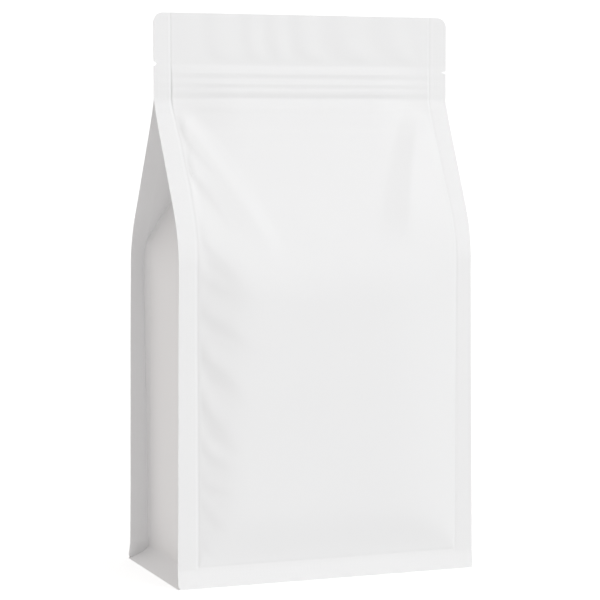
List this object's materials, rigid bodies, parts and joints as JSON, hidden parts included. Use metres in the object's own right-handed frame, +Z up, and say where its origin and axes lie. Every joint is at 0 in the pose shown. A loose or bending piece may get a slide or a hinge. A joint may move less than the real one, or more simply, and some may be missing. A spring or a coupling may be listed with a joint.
{
  "type": "flat-bottom pouch",
  "caption": "Filled flat-bottom pouch of matte white film with side gussets folded in below a zipped header, seal fins at its edges and a flat base to stand on.",
  "frame": {"origin": "middle of the base, on the surface the pouch stands on", "axes": "+Z up, +X along the width with the front facing -Y"},
  "size_m": [0.14, 0.079, 0.248],
  "materials": {
    "film": "matte white laminated film with a soft sheen and no print"
  },
  "bodies": {
    "root": {"pouch": "film"}
  },
  "joints": []
}
